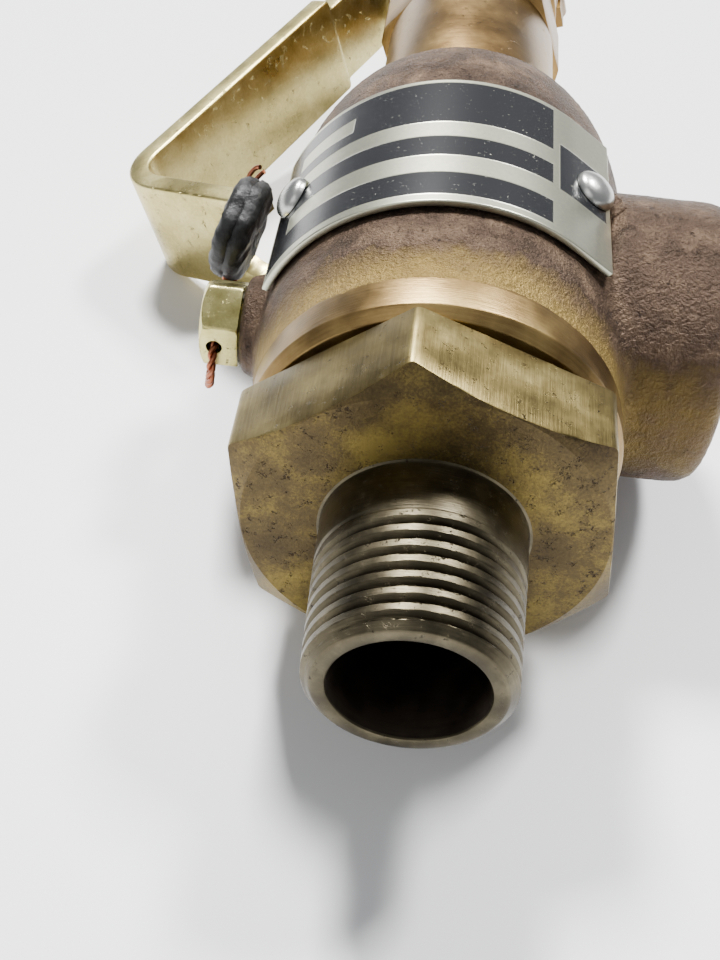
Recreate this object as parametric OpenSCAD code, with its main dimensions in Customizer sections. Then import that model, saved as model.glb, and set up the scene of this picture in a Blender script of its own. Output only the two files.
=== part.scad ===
// Small side-outlet pressure relief valve with a lifting lever.
// The valve axis is +Y, from the inlet's end face (y = 0) towards the cap.
// The outlet points along +X, the valve lies on the floor below with +Z up.

/* [Inlet base] */
// Radius of the inlet bore
inlet_bore_r = 7.7; // [7:0.1:8]
// Outside radius of the inlet's end face
inlet_end_r = 9.2; // [9:0.1:9.8]
// Radius of the plain shank behind the taper thread
shank_r = 10.67; // [10.6:0.01:11]
// Distance from the end face to the front of the hexagon
hex_front = 19.4; // [18:0.1:21]
// Thickness of the hexagon
hex_thick = 9.65; // [8:0.05:10]
// Width across the flats of the hexagon
hex_flats = 38.1; // [36:0.1:40]
// Turn of the hexagon about the valve axis
hex_clock = -8.5; // [-30:0.5:30]

/* [Nozzle] */
// Height of the seat above the inlet's end face
seat_y = 52; // [51:0.1:53]
// Radius of the throat
throat_r = 4.9; // [4.5:0.1:5.2]

/* [Body] */
// Outside radius of the cast body
body_r = 21.5; // [21:0.1:22]
// Outside radius of the turned collar next to the hexagon
collar_r = 20.4; // [20:0.1:21]
// Outside radius of the neck that holds the bonnet
neck_r = 13.5; // [13.2:0.1:14]
// Height of the neck's end above the inlet's end face
neck_y = 91; // [90:0.5:93]

/* [Outlet] */
// Height of the outlet axis above the inlet's end face
outlet_y = 55; // [54.5:0.1:55.2]
// Outside radius of the outlet boss
outlet_r = 16.8; // [16:0.1:17]
// Distance from the valve axis to the outlet's face
outlet_reach = 31.6; // [30:0.1:36]
// Radius of the threaded outlet hole
outlet_hole_r = 11.7; // [11:0.1:12]

/* [Blowdown ring and its pin] */
// Height of the pin's axis above the inlet's end face
ring_pin_y = 49.2; // [48.8:0.1:49.6]
// Width across the flats of the pin's head
ring_pin_flats = 9.3; // [9:0.1:9.6]
// Number of notches round the ring
ring_notches = 24; // [16:4:24]

/* [Bonnet and cap] */
// Radius of the round part of the bonnet
bonnet_r = 12.7; // [12.6:0.1:12.9]
// Height of the bonnet's wrench flats above the inlet's end face
bonnet_hex_y = 119; // [115:0.5:121]
// Height of the bonnet's top end
bonnet_top = 137; // [136:0.5:137.5]
// Outside radius of the cap's skirt
cap_r = 13.2; // [13:0.1:13.6]
// Height of the cap's flat top
cap_top = 145; // [144.6:0.1:145.2]
// Turn of the cap and the lever about the valve axis
lever_clock = 18; // [0:0.5:30]

/* [Spring] */
// Wire diameter of the spring
wire_d = 2.1; // [1.6:0.1:2.2]
// Mean radius of the coils
coil_r = 6.5; // [6.2:0.1:6.7]
// Number of turns
coil_turns = 9; // [7:1:11]

/* [Lever] */
// Thickness of the lever's strap
strap_t = 3.175; // [2.5:0.025:3.2]
// Width of the strap along the handle
strap_w = 15.9; // [14:0.1:19]
// Width of the strap where it crosses the cap
strap_neck_w = 12.7; // [12:0.1:12.8]
// Slope of the handle away from the valve axis
handle_slope = 27.7; // [27:0.1:28]
// Distance of the handle's outer corner from the valve axis
handle_out = 49.9; // [48:0.1:50]
// Height of the handle's outer corner above the inlet's end face
handle_y = 86.9; // [86:0.1:88]
// Length of the foot that turns in towards the body
foot_len = 28; // [24:0.1:28.5]
// Radius of the notch in the end of the foot
notch_r = 5.2; // [4:0.1:5.5]

/* [Nameplate and seal] */
// Outside radius of the curved nameplate
plate_r = 22.5; // [22.4:0.1:22.7]
// Width of the nameplate along the valve axis
plate_w = 25.1; // [20:0.1:25.4]
// Radius of the crushed lead seal
seal_r = 6.6; // [5:0.1:6.8]
// Thickness of the lead seal
seal_t = 4.4; // [3:0.1:4.8]

/* [Hidden] */
$fn = 96;
gap = 0.05;            // radial play of parts that are screwed together
hole_over = 1;         // extra length of a cutting shape past a face

hex_back = hex_front + hex_thick;
thread_start_r = 10.2;
thread_end_y = 13.5;
spigot_r = 16;         // upper thread of the inlet base
spigot_top = 41;
nozzle_r = 9.5;
lip_r = 6.6;
collar_y = hex_back + 1.25;
cavity_r = 17.6;
cavity_top = 66;
guide_r = 14.5;
guide_top = 74;
bonnet_thread_r = 11.5;
bonnet_foot_y = 78;
bonnet_corner_r = 14;
bonnet_hex_len = 12;
bonnet_bore_r = 8.8;
screw_y = 129;         // lower end of the compression screw
screw_r = 8;
screw_top = 141;
lock_nut_t = 2.8;
cap_inside_top = 141.5;
cap_hole_r = 4.2;
cap_skirt_y = bonnet_hex_y + bonnet_hex_len + 0.6;
ring_r = 13.2;
ring_low = 44.6;
ring_high = 52.6;
notch_floor_r = 11.9;
holder_r = 9;
holder_flange_r = 10.5;
holder_y = 53;
insert_r = 7.2;
stem_r = 3.15;
stem_tip_y = 64;
stem_top = 160;
washer_y = 80;
washer_t = 3.5;
washer_r = 8.2;
spring_low = washer_y + washer_t;
spring_high = screw_y - washer_t;
lift_nut_y = 150;
lift_nut_flats = 10;
boss_face = 23.6;      // face of the boss that the ring pin's head sits on
pin_head_len = 4.5;
pin_shank_r = 3.1;
plate_t = 0.8;
plate_y = 45.9;
plate_left = -68.9;    // clock angle of the left end
plate_bend = 34.5;     // clock angle where the plate leaves the body's curve
plate_flat = 5.2;      // straight length beyond the bend
rivet_y = 58.8;
rivet_spots = [[-58.5, 0], [34.5, 2.6]]; // clock angle and sideways shift of each rivet
bend_r = 8;            // outside radius of the handle's bend
top_bend_r = 6.5;      // outside radius of the bend over the cap
wide_len = 52.7;       // length of the wide part from the handle's corner
strap_low = 146.2;     // underside of the strap over the cap
pivot_x = 9.5;
pivot_y = 149.6;
pivot_r = 2;
eye_r = 4.2;
ear_in = 6.65;
ear_out = 10.1;

// The wire's route in mm: seal, cross hole in the ring pin's head, and back below the head.
WIRE = [[-26.7, 57.2, -1.4], [-26.9, 56.1, -1.0], [-26.5, 55.0, -0.3], [-26.3, 53.6, 0],
    [-26.3, 49.2, 0], [-26.3, 45.0, 0], [-26.3, 43.9, -0.5], [-26.4, 43.1, -1.9],
    [-26.6, 43.2, -3.8], [-26.9, 44.2, -5.6], [-27.2, 46.0, -6.6], [-27.5, 48.6, -7.0],
    [-27.9, 51.2, -6.6], [-28.3, 53.6, -5.2], [-28.4, 55.3, -3.4], [-27.9, 56.4, -1.4]];
wire_r = 0.55;

// ---- helpers ----

// A solid of revolution about the valve axis from [radius, height] points.
module turned(points) {
    rotate([-90, 0, 0]) rotate_extrude() polygon(points);
}

// A rod along the valve axis from y0 to y1.
module rod(r, y0, y1) {
    translate([0, y0, 0]) rotate([-90, 0, 0]) cylinder(r = r, h = y1 - y0);
}

// A hexagonal rod along the valve axis with one corner straight up.
module hex_rod(flats, y0, y1) {
    translate([0, y0, 0]) rotate([-90, 0, 0]) rotate([0, 0, 30])
        cylinder(r = flats / sqrt(3), h = y1 - y0, $fn = 6);
}

// A rod along +X at height y from x0 to x1.
module cross_rod(r, y, x0, x1) {
    translate([x0, y, 0]) rotate([0, 90, 0]) cylinder(r = r, h = x1 - x0);
}

// The lever's own frame: its handle side is -X before the turn.
module lever_frame() {
    rotate([0, -lever_clock, 0]) children();
}

// A closed tube along points, as rings of sides joined in order.
module tube(points, r, sides) {
    last = len(points) - 1;
    ahead = [for (i = [0:last]) let (d = points[min(i + 1, last)] - points[max(i - 1, 0)]) d / norm(d)];
    side = [for (d = ahead) let (s = cross(d, abs(d[0]) > 0.9 ? [0, 0, 1] : [1, 0, 0])) s / norm(s)];
    rings = [for (i = [0:last], k = [0:sides - 1])
        let (a = 360 * k / sides, up = cross(ahead[i], side[i]))
        points[i] + r * (cos(a) * side[i] + sin(a) * up)];
    walls = [for (i = [0:last - 1], k = [0:sides - 1]) let (m = (k + 1) % sides)
        [i * sides + k, (i + 1) * sides + k, (i + 1) * sides + m, i * sides + m]];
    ends = [[for (k = [0:sides - 1]) k], [for (k = [sides - 1:-1:0]) last * sides + k]];
    polyhedron(rings, concat(walls, ends), convexity = 6);
}

// ---- inlet base ----

module inlet_base() color("#a08f5f") {
    difference() {
        union() {
            turned([[0, 0], [inlet_end_r, 0], [thread_start_r, 1.2],
                [shank_r, thread_end_y], [shank_r, hex_front + 1], [0, hex_front + 1]]);
            intersection() {
                rotate([0, hex_clock, 0]) hex_rod(hex_flats, hex_front, hex_back);
                turned([[0, hex_front], [hex_flats / 2 - 0.2, hex_front],
                    [hex_flats / 2 + 3.2, hex_front + 1.9], [hex_flats / 2 + 3.2, hex_back],
                    [0, hex_back]]);
            }
            rod(spigot_r, hex_back - 1, spigot_top);
            turned([[0, spigot_top - 1], [nozzle_r, spigot_top - 1], [nozzle_r, seat_y - 1.4],
                [lip_r, seat_y - 1.4], [lip_r, seat_y], [0, seat_y]]);
        }
        rod(inlet_bore_r, -hole_over, 36);
        turned([[0, 35.9], [inlet_bore_r, 36], [throat_r, 44], [0, 44.1]]);
        rod(throat_r, 43.9, seat_y + hole_over);
    }
}

// ---- cast body ----

module body_outside() {
    dome = [for (t = [0:10:90]) [neck_r + (body_r - neck_r) * cos(t), 72 + (neck_y - 72) * sin(t)]];
    turned(concat([[0, collar_y], [collar_r - 1.1, collar_y], [collar_r, collar_y + 1.1],
        [collar_r, 37], [body_r, 42]], dome, [[0, neck_y]]));
    intersection() {
        cross_rod(outlet_r, outlet_y, 0, outlet_reach);
        translate([0, outlet_y, 0]) rotate([0, 90, 0])
            rotate_extrude() polygon([[0, 0], [outlet_r + 1, 0], [outlet_r + 1, outlet_reach - 2],
                [outlet_r - 1, outlet_reach], [0, outlet_reach]]);
    }
    cross_rod(6.2, ring_pin_y, -boss_face, -12);
}

module body_hollow() {
    rod(spigot_r + gap, collar_y - hole_over, spigot_top + 0.2);
    rod(cavity_r, spigot_top + 0.1, cavity_top);
    rod(guide_r + gap, cavity_top - 0.1, guide_top);
    rod(bonnet_thread_r + gap, guide_top - 0.1, neck_y + hole_over);
    cross_rod(10.5, outlet_y, 8, 17);
    cross_rod(outlet_hole_r, outlet_y, 16, outlet_reach + hole_over);
    translate([outlet_reach - 1.2, outlet_y, 0]) rotate([0, 90, 0])
        cylinder(r1 = outlet_hole_r, r2 = outlet_hole_r + 2, h = 1.5);
    cross_rod(pin_shank_r + gap, ring_pin_y, -boss_face - hole_over, -12);
    for (s = rivet_spots)
        rotate([0, s[0], 0]) translate([s[1], rivet_y, body_r - 4]) cylinder(r = 1.25, h = 8);
}

module valve_body() color("#75665b") {
    difference() {
        body_outside();
        body_hollow();
        plate_shape(0.15, plate_t + 4);
    }
}

// ---- blowdown ring and pin ----

module blowdown_ring() color("#b59f62") {
    difference() {
        turned([[nozzle_r + gap, ring_low], [ring_r, ring_low], [ring_r, ring_high - 1],
            [ring_r - 1, ring_high], [nozzle_r + gap, ring_high]]);
        for (i = [0:ring_notches - 1])
            rotate([0, 360 * i / ring_notches, 0])
                translate([notch_floor_r, ring_low - hole_over, -0.95]) cube([4, 12, 1.9]);
    }
}

module ring_pin() color("#cfc588") {
    difference() {
        union() {
            translate([-boss_face, ring_pin_y, 0]) rotate([0, -90, 0]) intersection() {
                rotate([0, 0, 0]) cylinder(r = ring_pin_flats / sqrt(3), h = pin_head_len, $fn = 6);
                rotate_extrude() polygon([[0, 0], [5.6, 0], [5.6, pin_head_len - 0.9],
                    [4.2, pin_head_len], [0, pin_head_len]]);
            }
            cross_rod(pin_shank_r, ring_pin_y, -boss_face - 1, -16.4);
            cross_rod(0.85, ring_pin_y, -17, -notch_floor_r - 0.3);
        }
        translate([-26.3, ring_pin_y - 8, 0]) rotate([-90, 0, 0]) cylinder(r = 0.95, h = 16);
    }
}

// ---- disc and stem ----

module disc_insert() color("#e8e4d8") {
    rod(insert_r, seat_y + 0.05, holder_y + 1.6);
}

module disc_holder() color("#b8a878") {
    difference() {
        turned([[0, holder_y], [holder_flange_r, holder_y], [holder_flange_r, holder_y + 2],
            [holder_r, holder_y + 3], [holder_r, guide_top], [0, guide_top]]);
        rod(insert_r + gap, holder_y - hole_over, holder_y + 1.6);
        rod(stem_r + 0.15, stem_tip_y, guide_top + hole_over);
    }
}

module disc_guide() color("#b59f62") {
    difference() {
        rod(guide_r, cavity_top + 0.2, guide_top - 0.2);
        rod(holder_r + gap, cavity_top - hole_over, guide_top + hole_over);
    }
}

module stem() color("#b9bab4") {
    rod(stem_r, stem_tip_y, stem_top - 1);
    turned([[0, stem_top - 1.5], [stem_r, stem_top - 1.5], [stem_r, stem_top - 0.8],
        [stem_r - 0.8, stem_top], [0, stem_top]]);
    rod(4.6, washer_y - 2, washer_y);
}

// ---- spring and its washers ----

module spring_washer_shape() {
    difference() {
        turned([[0, 0], [washer_r, 0], [washer_r, washer_t], [4.9, washer_t], [4.9, washer_t + 2.4],
            [0, washer_t + 2.4]]);
        rod(stem_r + 0.1, -hole_over, 10);
    }
}

module lower_spring_washer() color("#8f9190") {
    translate([0, washer_y, 0]) spring_washer_shape();
}

module upper_spring_washer() color("#8f9190") {
    translate([0, screw_y, 0]) rotate([180, 0, 0]) spring_washer_shape();
}

module spring() color("#5f6264") {
    steps = 20 * coil_turns;
    rise = spring_high - spring_low - wire_d - 0.2;
    path = [for (i = [0:steps]) let (a = 360 * i / 20, f = i / steps,
        g = f < 1 / coil_turns ? f / 2 : f > 1 - 1 / coil_turns ? 1 - (1 - f) / 2
            : 0.5 / coil_turns + (f - 1 / coil_turns) * (coil_turns - 1) / (coil_turns - 2))
        [coil_r * cos(a), spring_low + wire_d / 2 + 0.1 + rise * g, coil_r * sin(a)]];
    tube(path, wire_d / 2, 8);
}

// ---- bonnet and screw ----

module bonnet() color("#b39c72") {
    difference() {
        union() {
            rod(bonnet_thread_r, bonnet_foot_y, neck_y + 1);
            rod(bonnet_r, neck_y + 0.05, bonnet_hex_y + 1);
            rotate([0, -hex_clock + 30, 0]) intersection() {
                hex_rod(2 * bonnet_r, bonnet_hex_y, bonnet_hex_y + bonnet_hex_len);
                rod(bonnet_corner_r, bonnet_hex_y - 1, bonnet_hex_y + bonnet_hex_len + 1);
            }
            rod(bonnet_thread_r - 0.1, bonnet_hex_y + bonnet_hex_len - 1, bonnet_top);
        }
        rod(bonnet_bore_r, bonnet_foot_y - hole_over, screw_y + 0.1);
        rod(screw_r + gap, screw_y - 1, bonnet_top + hole_over);
    }
}

module compression_screw() color("#b8a878") {
    difference() {
        rod(screw_r, screw_y + 0.05, screw_top);
        rod(stem_r + 0.1, screw_y - hole_over, screw_top + hole_over);
        translate([-10, screw_top - 1.4, 4.6]) cube([20, 3, 6]);
        translate([-10, screw_top - 1.4, -10.6]) cube([20, 3, 6]);
    }
}

module lock_nut() color("#b8a878") {
    difference() {
        hex_rod(19, bonnet_top + 0.05, bonnet_top + lock_nut_t);
        rod(screw_r + gap, bonnet_top - hole_over, bonnet_top + 9);
    }
}

// ---- cap ----

module cap_ear() {
    translate([pivot_x - 4, cap_top - 2, ear_in]) cube([7.6, pivot_y - cap_top + 2, ear_out - ear_in]);
    translate([pivot_x, pivot_y, ear_in]) cylinder(r = eye_r, h = ear_out - ear_in);
}

module cap() color("#b09a68") lever_frame() {
    difference() {
        union() {
            turned([[0, cap_skirt_y], [cap_r - 0.6, cap_skirt_y], [cap_r, cap_skirt_y + 0.6],
                [cap_r, cap_inside_top - 0.6], [cap_r + 0.5, cap_inside_top], [cap_r + 0.5, cap_top - 0.7],
                [cap_r - 0.2, cap_top], [0, cap_top]]);
            cap_ear();
            mirror([0, 0, 1]) cap_ear();
        }
        rod(bonnet_thread_r, cap_skirt_y - hole_over, cap_inside_top);
        rod(cap_hole_r, cap_inside_top - hole_over, cap_top + hole_over);
        translate([pivot_x, pivot_y, -20]) cylinder(r = pivot_r + gap, h = 40);
        translate([0, cap_skirt_y + 2.8, 10]) cylinder(r = 1.55, h = 10);
    }
}

module cap_set_screw() color("#8f9190") lever_frame() {
    difference() {
        translate([0, cap_skirt_y + 2.8, bonnet_thread_r + 0.1]) cylinder(r = 1.5, h = 1.5);
        translate([-2, cap_skirt_y + 2.5, bonnet_thread_r + 1]) cube([4, 0.6, 2]);
    }
}

// ---- lever ----

// Part of a flat ring in the XY plane that stands width high about Z = 0.
module bend(outer, width, from, sweep) {
    translate([0, 0, -width / 2]) rotate([0, 0, from]) rotate_extrude(angle = sweep)
        translate([outer - strap_t, 0]) square([strap_t, width]);
}

// Handle and foot in a frame with its corner at the origin and the handle along +Y.
module handle_shape() {
    tangent = top_bend_r * tan((90 - handle_slope) / 2);
    handle_len = (strap_low + strap_t - handle_y) / cos(handle_slope) - tangent;
    translate([0, bend_r, -strap_w / 2]) cube([strap_t, wide_len - bend_r, strap_w]);
    translate([0, wide_len - 1, -strap_neck_w / 2]) cube([strap_t, handle_len - wide_len + 1, strap_neck_w]);
    translate([0.3, handle_len - 2, 0.3 - strap_neck_w / 2]) cube([strap_t - 0.6, 3, strap_neck_w - 0.6]);
    translate([bend_r, bend_r, 0]) bend(bend_r, strap_w, 180, 90);
    difference() {
        translate([bend_r, 0, -strap_w / 2]) cube([foot_len - bend_r, strap_t, strap_w]);
        translate([foot_len - 3.4, -1, 0]) rotate([-90, 0, 0]) cylinder(r = notch_r, h = strap_t + 2);
        translate([foot_len - 3.4, -1, -notch_r]) cube([10, strap_t + 2, 2 * notch_r]);
    }
}

module top_strap() {
    tangent = top_bend_r * tan((90 - handle_slope) / 2);
    corner_x = -handle_out + (strap_low + strap_t - handle_y) * tan(handle_slope);
    start_x = corner_x + tangent;
    translate([start_x, strap_low + strap_t - top_bend_r, 0])
        bend(top_bend_r, strap_neck_w, 90, 90 - handle_slope);
    difference() {
        union() {
            translate([start_x, strap_low, -strap_neck_w / 2])
                cube([pivot_x - start_x, strap_t, strap_neck_w]);
            translate([pivot_x, pivot_y, -strap_neck_w / 2]) cylinder(r = eye_r, h = strap_neck_w);
        }
        translate([pivot_x, pivot_y, -20]) cylinder(r = pivot_r + 0.08, h = 40);
        translate([-0.9, strap_low - 1, 0]) rotate([-90, 0, 0]) cylinder(r = 3.7, h = 8);
        translate([0.4, strap_low - 1, 0]) rotate([-90, 0, 0]) cylinder(r = 3.7, h = 8);
        translate([-0.9, strap_low - 1, -3.7]) cube([1.3, 8, 7.4]);
    }
}

module lever() color("#d8cc88") lever_frame() {
    translate([-handle_out, handle_y, 0]) rotate([0, 0, -handle_slope]) handle_shape();
    top_strap();
}

module lever_pin() color("#a9aaa6") lever_frame() {
    difference() {
        translate([pivot_x, pivot_y, 0]) union() {
            translate([0, 0, -ear_out - 1.6]) cylinder(r = 3.3, h = 1.5);
            translate([0, 0, -ear_out - 1]) cylinder(r = pivot_r, h = 2 * ear_out + 3);
        }
        translate([pivot_x, pivot_y, ear_out + 0.2]) difference() {
            cylinder(r = 4, h = 0.8);
            translate([0, 0, -1]) cylinder(r = 1.5, h = 3);
        }
    }
}

module pin_clip() color("#5f6264") lever_frame() {
    translate([pivot_x, pivot_y, ear_out + 0.25]) difference() {
        cylinder(r = 3.6, h = 0.7);
        translate([0, 0, -1]) cylinder(r = 1.55, h = 3);
        translate([0, -1.3, -1]) cube([5, 2.6, 3]);
    }
}

module lift_nut_shape(y, thick) {
    difference() {
        hex_rod(lift_nut_flats, y, y + thick);
        rod(stem_r + 0.03, y - hole_over, y + thick + hole_over);
    }
}

module lift_nut() color("#b9bab4") lever_frame() {
    lift_nut_shape(lift_nut_y, 4.2);
}

module lift_jam_nut() color("#b9bab4") lever_frame() {
    lift_nut_shape(lift_nut_y + 4.3, 2.6);
}

// ---- nameplate, rivets and seal ----

// The plate's curve and its straight right end, grown by more, thick metal.
module plate_shape(more, thick) {
    inner = plate_r - plate_t - more;
    outer = inner + thick + 2 * more;
    first = plate_left - (more > 0 ? 1 : 0);
    clocks = [for (i = [0:52]) first + (plate_bend - first) * i / 52];
    along = (plate_flat + more) * [cos(plate_bend), -sin(plate_bend)];
    out = [for (a = clocks) outer * [sin(a), cos(a)]];
    back = [for (i = [52:-1:0]) inner * [sin(clocks[i]), cos(clocks[i])]];
    translate([0, plate_y + plate_w + more, 0]) rotate([90, 0, 0])
        linear_extrude(height = plate_w + 2 * more)
        polygon(concat(out, [out[52] + along], [back[0] + along], back));
}

module nameplate() color("#c9cabb") {
    difference() {
        plate_shape(0, plate_t);
        for (s = rivet_spots)
            rotate([0, s[0], 0]) translate([s[1], rivet_y, body_r - 3]) cylinder(r = 1.25, h = 8);
    }
}

module rivets() color("#a9aaa6") {
    for (s = rivet_spots)
        rotate([0, s[0], 0]) translate([s[1], rivet_y, 0]) {
            translate([0, 0, body_r - 3]) cylinder(r = 1.2, h = plate_r - body_r + 3.5);
            intersection() {
                translate([0, 0, plate_r - 1.2]) sphere(r = 2.9);
                translate([0, 0, plate_r + 0.05]) cylinder(r = 4, h = 4);
            }
        }
}

module lead_seal() color("#4a4a4c") {
    translate([-26.1, 62, 4.3]) rotate([0, 0, -10]) rotate([0, -78.5, 0])
        translate([0, 0, -seal_t / 2]) cylinder(r = seal_r, h = seal_t);
}

module seal_wire() color("#a06a50") {
    tube(WIRE, wire_r, 8);
}

inlet_base();
valve_body();
blowdown_ring();
ring_pin();
disc_insert();
disc_holder();
disc_guide();
stem();
lower_spring_washer();
spring();
upper_spring_washer();
bonnet();
compression_screw();
lock_nut();
cap();
cap_set_screw();
lever();
lever_pin();
pin_clip();
lift_nut();
lift_jam_nut();
nameplate();
rivets();
lead_seal();
seal_wire();
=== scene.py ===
"""Pressure relief valve with a lifting lever: its looks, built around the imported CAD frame.

Lengths in this file are millimetres until a mesh is made, where they turn into metres. The valve
axis is +Y, the outlet is +X and +Z is up. A clock angle is measured about the valve axis from +Z
towards +X.
"""

from __future__ import annotations

import logging
import math
from collections.abc import Callable, Sequence
from dataclasses import dataclass
from enum import Enum

import bmesh
import bpy
from mathutils import Matrix, Vector, noise

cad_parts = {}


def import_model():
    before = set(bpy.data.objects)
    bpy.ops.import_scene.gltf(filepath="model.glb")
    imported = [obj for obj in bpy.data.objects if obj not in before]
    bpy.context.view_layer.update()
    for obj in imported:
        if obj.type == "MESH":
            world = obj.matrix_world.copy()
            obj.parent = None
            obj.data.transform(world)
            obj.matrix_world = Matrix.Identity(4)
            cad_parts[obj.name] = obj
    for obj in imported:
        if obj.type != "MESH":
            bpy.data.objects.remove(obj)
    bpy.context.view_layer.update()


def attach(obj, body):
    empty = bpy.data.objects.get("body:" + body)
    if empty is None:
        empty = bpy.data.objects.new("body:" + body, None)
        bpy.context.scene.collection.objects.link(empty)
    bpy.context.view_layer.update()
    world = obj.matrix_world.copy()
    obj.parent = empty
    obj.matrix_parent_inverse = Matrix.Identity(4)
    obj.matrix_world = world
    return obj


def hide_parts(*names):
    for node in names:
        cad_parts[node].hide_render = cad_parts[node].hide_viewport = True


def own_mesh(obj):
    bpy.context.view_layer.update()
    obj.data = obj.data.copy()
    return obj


LOG = logging.getLogger("relief_valve")
MM = 0.001
LEVER_CLOCK = 18.0
HEX_CLOCK = -8.5
# Height of the ring's locking pin, and the place of the lever's pivot beside the axis.
PIN_Y = 49.2
PIVOT = (9.5, 149.6)
NO_LIMIT = 1e9

Point = tuple[float, float, float]
Row = Sequence[tuple[float, float]]
Radius = Callable[[float], float]
Ring = Sequence[bmesh.types.BMVert]
Chooser = Callable[[Vector, Vector], bool]
Socket = bpy.types.NodeSocket
Piece = bpy.types.Object
Shape = bmesh.types.BMesh
Tree = bpy.types.NodeTree
Outputs = Sequence[Socket]


class Body(Enum):
    """The bodies of the frame that a piece can ride on."""

    VALVE = "valve"
    LEVER = "lever"
    STEM = "stem"


class Slot(Enum):
    """The record's material slots."""

    BRASS_TURNED = "brass_turned"
    CAST_BODY = "cast_body"
    BRASS_INNER = "brass_inner"
    BRASS_BRIGHT = "brass_bright"
    SOFT_SEAT = "soft_seat"
    STEEL = "steel_plain"
    SPRING = "spring_steel"
    BRASS_SATIN = "brass_satin"
    ZINC_YELLOW = "zinc_yellow_steel"
    PLATE = "plate_metal"
    RIVET = "rivet_zinc"
    LEAD = "lead"
    COPPER = "copper_wire"


class Grain(Enum):
    """The way fine tool or polishing marks run on a surface."""

    NONE = "none"
    ROUND_AXIS = "round_axis"
    ALONG_AXIS = "along_axis"


# ---- colour and shader helpers ----


def linear(code: str) -> tuple[float, float, float, float]:
    """Turns an sRGB hex colour into linear light.

    Args:
        code: colour such as "#a08f5f".

    Returns:
        Linear red, green, blue and an alpha of 1.
    """
    parts = [int(code[i : i + 2], 16) / 255 for i in (1, 3, 5)]
    low = [c / 12.92 if c <= 0.04045 else ((c + 0.055) / 1.055) ** 2.4 for c in parts]
    return (low[0], low[1], low[2], 1.0)


def add(tree: Tree, kind: str, values: dict | None = None, **links: Socket) -> Outputs:
    """Adds one shader node with its settings, values and incoming links.

    Args:
        tree: node tree of the material.
        kind: Blender's node type name without "ShaderNode".
        values: names of attributes, names or numbers of inputs, and "stops" for a colour ramp's
            positions and sRGB hex colours, each with its value.
        links: input names (underscores for spaces), or "in" and a number, and the output sockets
            that feed them.

    Returns:
        The new node's outputs.
    """
    node = tree.nodes.new("ShaderNode" + kind)
    for name, value in (values or {}).items():
        if name == "stops":
            band = node.color_ramp.elements
            while len(band) < len(value):
                band.new(0.5)
            for element, (place, code) in zip(band, value):
                element.position = place
                element.color = linear(code)
        elif isinstance(name, int) or name in node.inputs:
            node.inputs[name].default_value = value
        else:
            setattr(node, name, value)
    for name, socket in links.items():
        by_number = name.startswith("in") and name[2:].isdigit()
        key = int(name[2:]) if by_number else name.replace("_", " ")
        tree.links.new(socket, node.inputs[key])
    return node.outputs


def grain_coordinates(tree: Tree, grain: Grain) -> Socket:
    """Gives texture coordinates in millimetres, stretched the way the tool marks run.

    Args:
        tree: node tree of the material.
        grain: direction of the marks.

    Returns:
        A vector socket.
    """
    here = add(tree, "TexCoord")["Object"]
    stretch = {
        Grain.NONE: (1000, 1000, 1000), Grain.ROUND_AXIS: (40, 1000, 40),
        Grain.ALONG_AXIS: (1000, 45, 1000),
    }
    return add(tree, "Mapping", {"Scale": stretch[grain]}, Vector=here)[0]


def start_material(name: str) -> tuple[bpy.types.Material, Tree, bpy.types.Node]:
    """Makes a material and gives it with its node tree and its main shader."""
    made = bpy.data.materials.new(name)
    made.use_nodes = True
    return made, made.node_tree, made.node_tree.nodes["Principled BSDF"]


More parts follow.
